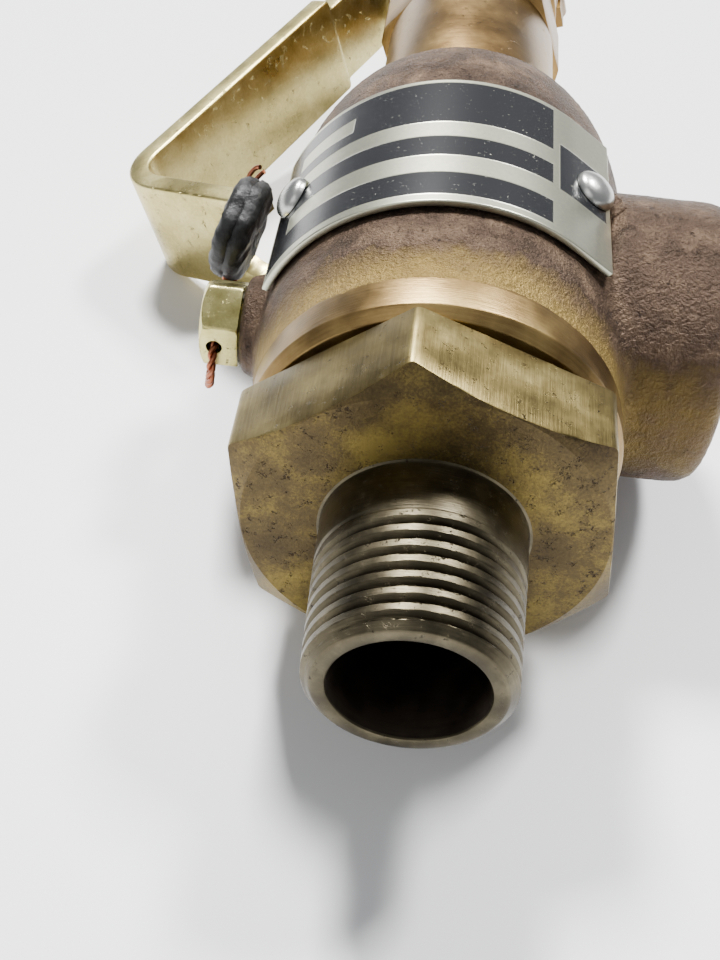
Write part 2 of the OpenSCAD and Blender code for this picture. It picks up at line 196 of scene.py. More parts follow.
@dataclass(frozen=True)
class Metal:
    """A metal finish made of a stained base colour, tool marks, dents and pits.

    Sizes are in millimetres, and stops are positions and sRGB hex colours from low to high noise.
    Real tool marks are about 0.1 mm apart, which is too fine to show, so they are drawn coarser.
    """

    name: str
    slot: Slot
    stops: tuple[tuple[float, str], ...]
    patch: float = 9.0
    metallic: float = 1.0
    roughness: tuple[float, float] = (0.3, 0.45)
    grain: Grain = Grain.NONE
    grain_size: float = 0.25
    grain_depth: float = 0.02
    lump: float = 3.0
    lump_depth: float = 0.0
    pit: float = 0.0
    pit_colour: str = "#2c2620"
    pit_share: float = 0.2
    pit_depth: float = 0.08
    cavity: str = ""
    bare: str = ""

    def build(self) -> bpy.types.Material:
        """Builds the material.

        Returns:
            The material, ready to be put in a slot.
        """
        made, tree, shader = start_material(self.name)
        plain = grain_coordinates(tree, Grain.NONE)
        marked = grain_coordinates(tree, self.grain)
        times = {"operation": "MULTIPLY"}
        # Wide patches of tarnish, and fine lines left by the tool.
        wide = {"Scale": 1 / self.patch, "Detail": 6.0, "Roughness": 0.6}
        patch = add(tree, "TexNoise", wide, Vector=plain)[0]
        fine = {"Scale": 1 / self.grain_size, "Detail": 3.0, "Roughness": 0.7}
        lines = add(tree, "TexNoise", fine, Vector=marked)[0]
        mixed = {"data_type": "FLOAT", "Factor": 0.25}
        blend = add(tree, "Mix", mixed, in2=patch, in3=lines)[0]
        colour = add(tree, "ValToRGB", {"stops": self.stops}, Fac=blend)[0]
        relief = [(lines, self.grain_depth)]
        stains: list[tuple[Socket, str]] = []
        if self.lump_depth:
            dents = {"Scale": 1 / self.lump, "Detail": 5.0, "Roughness": 0.55}
            relief.append((add(tree, "TexNoise", dents, Vector=plain)[0], self.lump_depth))
        if self.pit:
            # Small dark pits, gathered where the wide noise is high.
            small = {"Scale": 1 / self.pit, "Detail": 4.0, "Roughness": 0.75}
            cells = add(tree, "TexNoise", small, Vector=plain)[0]
            crowd = add(tree, "TexNoise", {"Scale": 0.2 / self.pit, "Detail": 2.0}, Vector=plain)[0]
            both = add(tree, "Math", times, in0=cells, in1=crowd)[0]
            edge = 0.25 + 0.1 * (1 - self.pit_share)
            hole = add(tree, "MapRange", {"From Min": edge, "From Max": edge + 0.07}, Value=both)[0]
            stains.append((hole, self.pit_colour))
            relief.append((hole, -self.pit_depth))
        if self.cavity:
            # Darker colour deep in the grooves. The mesh says how deep each point lies.
            hollow = add(tree, "Attribute", {"attribute_name": "dirt"})["Fac"]
            share = add(tree, "MapRange", {"From Min": 0.25, "To Max": 0.85}, Value=hollow)[0]
            stains.append((share, self.cavity))
        if self.bare:
            # The lathe's run-out: bare metal that gives way to the cast skin a little further up.
            rise = add(tree, "SeparateXYZ", Vector=plain)["Y"]
            wander = {"operation": "MULTIPLY_ADD", 1: 9.0}
            ragged = add(tree, "Math", wander, in0=patch, in2=rise)[0]
            fade = {"From Min": 41.0, "From Max": 45.5, "To Min": 1.0, "To Max": 0.0}
            stains.append((add(tree, "MapRange", fade, Value=ragged)[0], self.bare))
        for share, code in stains:
            tint = {"data_type": "RGBA", 7: linear(code)}
            colour = add(tree, "Mix", tint, in0=share, in6=colour)[2]
        height = None
        for value, depth in relief:
            deep = add(tree, "Math", {**times, 1: depth}, in0=value)[0]
            if height:
                deep = add(tree, "Math", {"operation": "ADD"}, in0=height, in1=deep)[0]
            height = deep
        low, high = self.roughness
        spread = {"From Min": 0.3, "From Max": 0.7, "To Min": low, "To Max": high}
        rough = add(tree, "MapRange", spread, Value=patch)[0]
        bump = add(tree, "Bump", {"Distance": MM, "Strength": 1.0}, Height=height)[0]
        for name, value in (("Base Color", colour), ("Roughness", rough), ("Normal", bump)):
            tree.links.new(value, shader.inputs[name])
        shader.inputs["Metallic"].default_value = self.metallic
        return made


@dataclass(frozen=True)
class EtchedPlate:
    """Etched plate: a pale metal ground with dark enamel panels and worn strokes of bare metal."""

    name: str = "etched aluminium nameplate"
    slot: Slot = Slot.PLATE
    ground: str = "#cdccb2"
    enamel: str = "#141518"

    def build(self) -> bpy.types.Material:
        """Builds the material.

        Returns:
            The plate's material. Its panels follow the colour attribute "enamel" of the mesh.
        """
        made, tree, shader = start_material(self.name)
        plain = grain_coordinates(tree, Grain.NONE)
        share = add(tree, "Attribute", {"attribute_name": "enamel"})["Fac"]
        fine = {"Scale": 2.2, "Detail": 6.0, "Roughness": 0.7}
        wear = add(tree, "TexNoise", fine, Vector=plain)[0]
        rubbed = {"From Min": 0.64, "From Max": 0.74, "To Min": 1.0, "To Max": 0.35}
        worn = add(tree, "MapRange", rubbed, Value=wear)[0]
        dark = add(tree, "Math", {"operation": "MULTIPLY"}, in0=share, in1=worn)[0]
        stops = ((0.3, "#b9b9a9"), (0.7, self.ground))
        metal = add(tree, "ValToRGB", {"stops": stops}, Fac=wear)[0]
        tint = {"data_type": "RGBA", 7: linear(self.enamel)}
        colour = add(tree, "Mix", tint, in0=dark, in6=metal)[2]
        rest = {"operation": "SUBTRACT", "use_clamp": True, 0: 1.0}
        bare = add(tree, "Math", rest, in1=dark)[0]
        rough = add(tree, "MapRange", {"To Min": 0.32, "To Max": 0.24}, Value=share)[0]
        bump = add(tree, "Bump", {"Distance": 0.05 * MM, "Strength": 0.6}, Height=dark)[0]
        ends = {"Base Color": colour, "Metallic": bare, "Roughness": rough, "Normal": bump}
        for name, value in ends.items():
            tree.links.new(value, shader.inputs[name])
        return made


@dataclass(frozen=True)
class Finishes:
    """Every finish on the valve, built once."""

    # Sand-cast bronze: brown-grey, grainy, with a dull sparkle where the sand left points.
    cast: Metal = Metal(
        "sand-cast bronze", Slot.CAST_BODY, ((0.3, "#2e241c"), (0.5, "#4b3c31"), (0.68, "#715d4b")),
        patch=4.0, metallic=0.85, roughness=(0.45, 0.58), grain_size=0.4, grain_depth=0.42,
        lump=1.0, lump_depth=0.2, pit=0.3, pit_colour="#2f2722", pit_share=0.05, bare="#86703f",
    )
    # Turned band on the casting: bare bronze with fine lines round the axis.
    band: Metal = Metal(
        "turned bronze band", Slot.CAST_BODY,
        ((0.3, "#5f4c2f"), (0.5, "#836b43"), (0.7, "#a28a58")), patch=7.0, roughness=(0.3, 0.42),
        grain=Grain.ROUND_AXIS, grain_size=0.2, grain_depth=0.03,
    )
    # Sides of the hexagon: drawn brass, brushed along the bar, with a greenish tarnish.
    hexagon: Metal = Metal(
        "drawn hexagon brass", Slot.BRASS_TURNED,
        ((0.3, "#50462b"), (0.5, "#766840"), (0.7, "#998b5b")), patch=6.0, roughness=(0.3, 0.45),
        grain=Grain.ALONG_AXIS, grain_size=0.3, grain_depth=0.02, pit=0.2, pit_share=-0.1,
    )
    # Faced front of the hexagon: brown and freckled, brass shows through.
    faced: Metal = Metal(
        "tarnished faced brass", Slot.BRASS_TURNED,
        ((0.32, "#382f24"), (0.48, "#584b32"), (0.64, "#8c7a42")), patch=11.0,
        roughness=(0.34, 0.5), grain_size=0.3, grain_depth=0.03, pit=0.22, pit_colour="#3a2d20",
        pit_share=0.1,
    )
    # Thread and shank: dull grey-brown brass, darker deep in the grooves.
    thread: Metal = Metal(
        "threaded brass", Slot.BRASS_TURNED, ((0.3, "#39342a"), (0.5, "#4e4839"), (0.7, "#6c6450")),
        patch=4.0, roughness=(0.3, 0.44), grain=Grain.ROUND_AXIS, grain_size=0.15,
        grain_depth=0.025, pit=0.2, pit_share=-0.1, cavity="#1f1a13",
    )
    # Inlet bore: turned brass coloured dark brown as painted shade, so that the hole looks deep.
    bore: Metal = Metal(
        "bore brass with painted shade", Slot.BRASS_TURNED, ((0.3, "#2e2823"), (0.6, "#453c33")), patch=5.0,
        roughness=(0.4, 0.6), grain=Grain.ROUND_AXIS, grain_size=0.3, grain_depth=0.03,
    )
    # Bonnet and cap: satin turned brass, slightly pink.
    satin: Metal = Metal(
        "satin turned brass", Slot.BRASS_SATIN,
        ((0.3, "#644d2d"), (0.5, "#866b42"), (0.7, "#a78e5c")), patch=10.0, roughness=(0.28, 0.4),
        grain=Grain.ROUND_AXIS, grain_size=0.22, grain_depth=0.02, pit=0.2, pit_share=-0.2,
    )
    # Pin head: clean pale yellow brass with small, hard highlights.
    bright: Metal = Metal(
        "bright turned brass", Slot.BRASS_BRIGHT, ((0.3, "#a59a56"), (0.6, "#d6cc8c")), patch=4.0,
        roughness=(0.22, 0.32), grain_size=0.2, grain_depth=0.02, pit=0.2, pit_share=-0.1,
    )
    # Inner trim: clean turned brass that gives a warm gleam inside the outlet.
    inner: Metal = Metal(
        "turned brass trim", Slot.BRASS_INNER, ((0.3, "#8d7a4c"), (0.7, "#b7a368")),
        roughness=(0.3, 0.4), grain=Grain.ROUND_AXIS,
    )
    # Soft seat: matt off-white plastic.
    seat: Metal = Metal(
        "pressed fluoropolymer", Slot.SOFT_SEAT, ((0.3, "#d8d4c8"), (0.7, "#eae6da")), metallic=0.0,
        roughness=(0.5, 0.6),
    )
    # Stem, washers and nuts: mid grey with fine lines round the axis.
    steel: Metal = Metal(
        "turned steel", Slot.STEEL, ((0.3, "#8e8f8b"), (0.7, "#b7b8b4")), roughness=(0.28, 0.4),
        grain=Grain.ROUND_AXIS,
    )
    # Spring, clip and set screw: dark grey with an oily gloss.
    wire: Metal = Metal(
        "oiled spring steel", Slot.SPRING, ((0.3, "#3f4143"), (0.7, "#5f6264")),
        roughness=(0.3, 0.42),
    )
    # Lever: yellow zinc passivate over rolled strip, pale gold with olive clouds.
    lever: Metal = Metal(
        "yellow zinc passivated steel", Slot.ZINC_YELLOW,
        ((0.28, "#8f8350"), (0.48, "#bcae72"), (0.62, "#d2c68c"), (0.8, "#bdbaa2")), patch=12.0,
        roughness=(0.24, 0.4), grain_size=0.5, grain_depth=0.02, lump=5.0, lump_depth=0.06,
        pit=0.25, pit_colour="#8a7d4a", pit_share=-0.1,
    )
    # Rivets: the palest metal here, glossy with soft dents in the heads.
    rivet: Metal = Metal(
        "bright zinc rivet", Slot.RIVET, ((0.3, "#a8a9a4"), (0.7, "#cfd0cb")),
        roughness=(0.24, 0.34), lump=1.5, lump_depth=0.05,
    )
    # Crushed seal: dark and dull, with soft dents that catch little light.
    lead: Metal = Metal(
        "crushed lead", Slot.LEAD, ((0.3, "#1d1d1d"), (0.55, "#2d2d2d"), (0.75, "#454546")),
        patch=3.0, metallic=0.6, roughness=(0.42, 0.6), grain_size=0.5, grain_depth=0.06, lump=1.6,
        lump_depth=0.25,
    )
    # Sealing wire: a thin, warm red-brown line against the lead.
    copper: Metal = Metal(
        "drawn copper wire", Slot.COPPER, ((0.3, "#8a4f38"), (0.7, "#bb7a5c")), patch=2.0,
        roughness=(0.28, 0.4),
    )


# ---- mesh helpers ----


def lever_turn() -> Matrix:
    """The turn of the cap and the lever about the valve axis."""
    return Matrix.Rotation(math.radians(-LEVER_CLOCK), 4, "Y")


def from_bmesh(name: str, shape: Shape, turn: Matrix | None = None, angle: float = 35.0) -> Piece:
    """Turns a mesh in millimetres into an object in metres.

    Args:
        name: name of the piece.
        shape: mesh in millimetres, which is freed.
        turn: placement applied before the scale.
        angle: edges sharper than this many degrees stay sharp.

    Returns:
        The object, linked to the scene.
    """
    bmesh.ops.recalc_face_normals(shape, faces=shape.faces)
    shape.transform(Matrix.Scale(MM, 4) @ (turn or Matrix.Identity(4)))
    data = bpy.data.meshes.new(name)
    shape.to_mesh(data)
    shape.free()
    data.shade_smooth()
    data.set_sharp_from_angle(angle=math.radians(angle))
    made = bpy.data.objects.new(name, data)
    bpy.context.scene.collection.objects.link(made)
    return made


def sideways(y: float, outwards: bool) -> Matrix:
    """Placement that lays a turned piece along X at a height: outwards is +X, otherwise -X."""
    turn = Matrix.Rotation(math.radians(-90 if outwards else 90), 4, "Z")
    return Matrix.Translation((0, y, 0)) @ turn


def upright() -> Matrix:
    """Lays a turned piece along Z."""
    return Matrix.Rotation(math.radians(90), 4, "X")


def cap_place(x: float, y: float) -> Matrix:
    """Lays a turned piece across the turned cap, at a place beside the axis."""
    return lever_turn() @ Matrix.Translation((x, y, 0)) @ upright()


def bridge(shape: Shape, one: Ring, two: Ring) -> None:
    """Joins two rings of the same number of points with faces."""
    for i in range(len(one)):
        j = (i + 1) % len(one)
        shape.faces.new((one[i], one[j], two[j], two[i]))


def prism(outline: Row, low: float, high: float, along_y: bool = False) -> Shape:
    """Extrudes an outline in X and Y along Z, or an outline in X and Z along Y."""
    shape = bmesh.new()
    rings = []
    for end in (low, high):
        spots = [(a, end, b) if along_y else (a, b, end) for a, b in outline]
        rings.append([shape.verts.new(spot) for spot in spots])
        shape.faces.new(rings[-1])
    bridge(shape, *rings)
    return shape


def paint(piece: Piece, layer: str, value: Callable[[Vector], float]) -> None:
    """Fills a colour attribute of a mesh with a grey for each point in millimetres."""
    colours = piece.data.color_attributes.new(layer, "FLOAT_COLOR", "POINT").data
    for item, vert in zip(colours, piece.data.vertices):
        grey = value(vert.co / MM)
        item.color = (grey, grey, grey, 1.0)


def clocked(radius: float, y: float, clock: float) -> Vector:
    """Position at a radius, a height and a clock angle in radians."""
    return Vector((radius * math.sin(clock), y, radius * math.cos(clock)))


def lathe(
    rows: Sequence[tuple[float | Radius, float]], around: int = 160, closed: bool = True
) -> Shape:
    """Builds a surface of rings about the valve axis.

    Args:
        rows: radius, or a radius for each clock angle, and height of each ring.
        around: number of points in a ring.
        closed: whether the last ring joins the first, which makes a tube wall.

    Returns:
        The mesh in millimetres.
    """
    shape = bmesh.new()
    rings = []
    for radius, y in rows:
        ring = []
        for k in range(around):
            clock = 2 * math.pi * k / around
            r = radius(clock) if callable(radius) else radius
            ring.append(shape.verts.new(clocked(r, y, clock)))
        rings.append(ring)
    for low, high in zip(rings, rings[1:]):
        bridge(shape, low, high)
    if closed:
        bridge(shape, rings[-1], rings[0])
    else:
        shape.faces.new(rings[0])
        shape.faces.new(rings[-1])
    return shape


def stairs(*values: float) -> list[tuple[float, float]]:
    """Corners of a stepped profile, from radius and height by turns: at each step one changes."""
    return [(values[i + i % 2], values[i + 1 - i % 2]) for i in range(len(values) - 1)]


def rounded(points: Row, size: float = 0.35, steps: int = 3) -> list[tuple[float, float]]:
    """Rounds the corners of a closed profile of (radius, height) points.

    Args:
        points: corners in order.
        size: how far from a corner the rounding starts, cut back on short sides.
        steps: points in each rounding.

    Returns:
        The profile with its corners rounded.
    """
    out = []
    count = len(points)
    for i, here in enumerate(points):
        p, c, q = Vector(points[i - 1]), Vector(here), Vector(points[(i + 1) % count])
        to_p, to_q = p - c, q - c
        cut = min(size, 0.4 * to_p.length, 0.4 * to_q.length)
        start, end = c + to_p.normalized() * cut, c + to_q.normalized() * cut
        for k in range(steps + 1):
            t = k / steps
            spot = (1 - t) ** 2 * start + 2 * t * (1 - t) * c + t * t * end
            out.append((spot.x, spot.y))
    return out


def turned(points: Row, size: float = 0.35, around: int = 128) -> Shape:
    """A turned ring or bush from its closed profile, with its corners rounded."""
    return lathe(rounded(points, size), around)


def hex_radius(flats: float, clock: float, corner: float = 0.6, limit: float = NO_LIMIT) -> Radius:
    """Gives the outline of a hexagon with rounded corners.

    Args:
        flats: width across the flats.
        clock: clock angle of a corner in degrees.
        corner: rounding radius of the corners.
        limit: turned radius that the corners are cut back to.

    Returns:
        A function from clock angle in radians to radius.
    """

    def radius(angle: float) -> float:
        """Radius of the outline at one clock angle."""
        off = (angle - math.radians(clock)) % (math.pi / 3)
        side = abs(off - math.pi / 6)
        straight = flats / 2 / math.cos(side)
        centre = (flats / 2 - corner) / math.cos(math.pi / 6)
        away = math.pi / 6 - side
        inside = corner**2 - (centre * math.sin(away)) ** 2
        arc = centre * math.cos(away) + math.sqrt(inside) if inside > 0 else NO_LIMIT
        at_arc = centre * math.sin(away) < corner * math.sin(math.pi / 6)
        return min(straight, arc if at_arc else NO_LIMIT, limit)

    return radius


def hexagon(
    flats: float,
    clock: float,
    low: float,
    high: float,
    bore: float,
    chamfer: tuple[float, float],
    corner: float = 0.3,
    limit: float = NO_LIMIT,
    around: int = 288,
) -> Shape:
    """A hexagonal block with turned chamfers on its ends.

    Args:
        flats: width across the flats.
        clock: clock angle of a corner in degrees.
        low: height of the lower face.
        high: height of the upper face.
        bore: radius of the hole.
        chamfer: slope of the chamfer at the lower and the upper end, 0 for none.
        corner: rounding radius of the corners.
        limit: turned radius that the corners are cut back to.
        around: points round the outline.

    Returns:
        The mesh in millimetres.
    """
    outline = hex_radius(flats, clock, corner, limit)
    flat = flats / 2 - 0.15
    edge = 0.18
    shape = bmesh.new()
    rings: list[list[bmesh.types.BMVert]] = []
    for k in range(around):
        clock_at = 2 * math.pi * k / around
        full = outline(clock_at)
        rise = [max(0.0, full - flat) * slope for slope in chamfer]
        column = [(bore, low), (flat, low)]
        column += [(flat + (full - flat) * t, low + rise[0] * t) for t in (0.3, 0.6, 0.9)]
        column += [(full - edge * 0.3, low + rise[0] * 0.97 + 0.02), (full, low + rise[0] + edge)]
        column += [(full, low + (high - low) * t) for t in (0.35, 0.5, 0.65)]
        column += [(full, high - rise[1] - edge), (full - edge * 0.3, high - rise[1] * 0.97 - 0.02)]
        column += [(flat + (full - flat) * t, high - rise[1] * t) for t in (0.9, 0.6, 0.3)]
        column += [(flat, high), (bore, high)]
        rings.append([shape.verts.new(clocked(r, y, clock_at)) for r, y in column])
    for one, two in zip(rings, rings[1:] + rings[:1]):
        bridge(shape, one, two)
    return shape


def tube_curve(name: str, points: Sequence[Point], radius: float) -> Piece:
    """A round wire through points.

    Args:
        name: name of the piece.
        points: route in millimetres.
        radius: wire radius in millimetres.

    Returns:
        The wire as a mesh object.
    """
    curve = bpy.data.curves.new(name, "CURVE")
    curve.dimensions = "3D"
    curve.bevel_depth = radius * MM
    curve.bevel_resolution = 4
    curve.use_fill_caps = True
    curve.resolution_u = 6
    line = curve.splines.new("NURBS")
    line.points.add(len(points) - 1)
    for spot, where in zip(line.points, points):
        spot.co = (*(c * MM for c in where), 1.0)
    line.use_endpoint_u = True
    line.order_u = 4
    drawn = bpy.data.objects.new(name, curve)
    bpy.context.scene.collection.objects.link(drawn)
    graph = bpy.context.evaluated_depsgraph_get()
    data = bpy.data.meshes.new_from_object(drawn.evaluated_get(graph))
    bpy.data.objects.remove(drawn)
    data.shade_smooth()
    made = bpy.data.objects.new(name, data)
    bpy.context.scene.collection.objects.link(made)
    return made


def boolean(
    base: Piece,
    shape: Shape,
    turn: Matrix | None = None,
    how: str = "DIFFERENCE",
) -> None:
    """Cuts a solid from a piece, or joins it on.

    Args:
        base: the piece.
        shape: the other solid in millimetres, which is freed.
        turn: placement of the other solid.
        how: Blender's name of the operation.
    """
    cutter = from_bmesh("cutter", shape, turn)
    change = base.modifiers.new("cut", "BOOLEAN")
    change.operation = how
    change.solver = "MANIFOLD"
    change.object = cutter
    bake(base)
    bpy.data.objects.remove(cutter)


def bake(target: Piece) -> None:
    """Applies the modifiers of an object to its mesh."""
    graph = bpy.context.evaluated_depsgraph_get()
    fresh = bpy.data.meshes.new_from_object(target.evaluated_get(graph))
    target.modifiers.clear()
    old = target.data
    target.data = fresh
    if isinstance(old, bpy.types.Mesh):
        bpy.data.meshes.remove(old)


def soften(target: Piece, width: float, angle: float = 30.0) -> None:
    """Rounds the sharp edges of a piece by a width in millimetres."""
    edge = target.modifiers.new("edges", "BEVEL")
    edge.width = width * MM
    edge.segments = 3
    edge.limit_method = "ANGLE"
    edge.angle_limit = math.radians(angle)
    edge.harden_normals = False
    bake(target)
    target.data.shade_smooth()
    target.data.set_sharp_from_angle(angle=math.radians(angle + 10))


class Shop:
    """Places finished pieces: material, body and CAD node."""

    def __init__(self) -> None:
        """Starts with no finishes built."""
        self.looks = Finishes()
        self.plate = EtchedPlate()
        self._built: dict[str, bpy.types.Material] = {}

    def material(self, look: Metal | EtchedPlate) -> bpy.types.Material:
        """Gives the material of a finish, built on first use."""
        if look.name not in self._built:
            self._built[look.name] = look.build()
        return self._built[look.name]

    def place(
        self,
        piece: Piece,
        look: Metal | EtchedPlate,
        *nodes: str,
        body: Body = Body.VALVE,
        slot: Slot | None = None,
    ) -> None:
        """Finishes one piece.

        Args:
            piece: the object.
            look: its finish.
            nodes: CAD nodes that it stands for.
            body: the body it rides on.
            slot: the record's material slot, if it isn't the finish's own; not used.
        """
        if "." in piece.name:
            # The CAD node already holds the plain name.
            piece.name = piece.name.split(".")[0] + "_detail"
        if not any(piece.data.materials):
            piece.data.materials.clear()
            piece.data.materials.append(self.material(look))
        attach(piece, body.value)
        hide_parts(*nodes)
        LOG.info("%s rides on %s", piece.name, body.value)

    def two_tone(self, piece: Piece, look: Metal, other: Metal, chosen: Chooser) -> None:
        """Gives a piece two finishes.

        Args:
            piece: the object.
            look: finish of most faces.
            other: finish of the chosen faces.
            chosen: tells from a face's centre in millimetres and its normal if it is chosen.
        """
        for each in (look, other):
            piece.data.materials.append(self.material(each))
        for face in piece.data.polygons:
            face.material_index = int(chosen(face.center / MM, face.normal))

    def make(
        self,
        name: str,
        shape: Shape,
        look: Metal | EtchedPlate,
        *nodes: str,
        turn: Matrix | None = None,
        angle: float = 35.0,
        body: Body = Body.VALVE,
        slot: Slot | None = None,
    ) -> None:
        """Turns a mesh in millimetres into a finished piece.

        Args:
            name: name of the piece.
            shape: mesh in millimetres, which is freed.
            look: its finish.
            nodes: CAD nodes that it stands for.
            turn: placement of the piece.
            angle: edges sharper than this many degrees stay sharp.
            body: the body it rides on.
            slot: the record's material slot, if it isn't the finish's own; handed on to place,
                which does not use it.
        """
        self.place(from_bmesh(name, shape, turn, angle), look, *nodes, body=body, slot=slot)


# ---- the sub-assemblies ----


@dataclass
class InletBase:
    """Hexagonal inlet base with a real taper thread, and the nozzle inside the body."""

    bore: float = 7.7
    end: float = 9.2
    start: float = 10.2
    shank: float = 10.67
    pitch: float = 1.814
    grooves: float = 7.6
    depth: float = 0.65
    face: float = 19.4
    back: float = 29.05
    flats: float = 38.1
    seat: float = 52.0
    turn_share: float = 0.12
    groove_width: float = 0.58
    groove_blend: float = 0.55
    runout: float = 1.6
    thread_end: float = 14.6

    def crest(self, y: float) -> float:
        """Radius of the thread's crest at a height."""
        return min(self.shank, self.start + y / 32)

    def thread(self) -> Shape:
        """The threaded nipple with its plain shank and its bore.

        Returns:
            The mesh in millimetres.
        """
        around, step = 240, 0.075
        rows: list[tuple[float | Radius, float]] = [
            (self.bore, 34.0), (self.bore, 20.0), (self.bore, 6.0), (self.bore, 0.25),
            (self.bore + 0.12, 0.05), (self.bore + 0.3, 0.0), (self.end - 0.25, 0.0),
            (self.end, 0.06),
        ]

        def at(y: float) -> Radius:
            """Outline of the thread at one height."""

            def radius(clock: float) -> float:
                """Radius at one clock angle."""
                turn = y / self.pitch - clock / (2 * math.pi) - self.turn_share
                wave = abs((turn % 1.0) - 0.5) * 2
                cut = max(0.0, min(1.0, (self.groove_width - wave) / self.groove_blend))
                fade = max(0.0, min(1.0, (self.grooves * self.pitch - y) / self.runout))
                crest = self.crest(y)
                chamfer = self.end + y
                return min(crest - self.depth * cut * fade, chamfer)

            return radius

        y = 0.12
        while y < self.thread_end:
            rows.append((at(y), y))
            y += step
        rows += [
            (self.shank, 15.5), (self.shank, 17.5), (self.shank, self.face - 0.35),
            (self.shank + 0.1, self.face - 0.1), (self.shank + 0.4, self.face + 0.02),
            (self.shank + 0.4, 34.0),
        ]
        return lathe(rows, around)

    def dirt(self, spot: Vector) -> float:
        """How deep in the thread's grooves a point lies, 0 to 1."""
        low = (self.crest(spot.y) - math.hypot(spot.x, spot.z)) / self.depth
        return min(1.0, max(0.0, low)) if 1.2 < spot.y < 15 else 0.0

    def build(self, shop: Shop) -> None:
        """Builds and places the inlet's pieces."""
        nipple = from_bmesh("inlet_thread_nipple", self.thread(), angle=40)

        def bored(at: Vector, _: Vector) -> bool:
            """Tells whether a face lies in the bore."""
            return math.hypot(at.x, at.z) < self.bore + 0.02

        # Faces in the bore get the dark bore finish, painted shade that makes the hole look deep.
        shop.two_tone(nipple, shop.looks.thread, shop.looks.bore, bored)
        # How deep each point lies in the grooves, which makes the thread's colour darker there.
        paint(nipple, "dirt", self.dirt)
        shop.place(nipple, shop.looks.thread, "inlet_base")
        block = from_bmesh(
            "inlet_hexagon",
            hexagon(
                self.flats, HEX_CLOCK, self.face, self.back, self.shank + 0.05, (0.56, 0.0),
                corner=1.0, around=480,
            ),
            angle=28,
        )
        shop.two_tone(block, shop.looks.hexagon, shop.looks.faced, lambda _, way: way.y < -0.6)
        shop.place(block, shop.looks.hexagon, "inlet_base")
        s = self.seat
        profile = [
            (15.9, self.back - 0.5), (15.9, 41.0), (9.4, 41.0), (9.4, s - 1.4), (6.5, s - 1.4),
            (6.5, s), (5.0, s), (5.0, 44.0), (self.bore, 36.0), (self.bore, self.back - 0.5),
        ]
        trim = shop.looks.inner
        shop.make("nozzle", turned(profile, 0.2), trim, "inlet_base", slot=Slot.BRASS_TURNED)


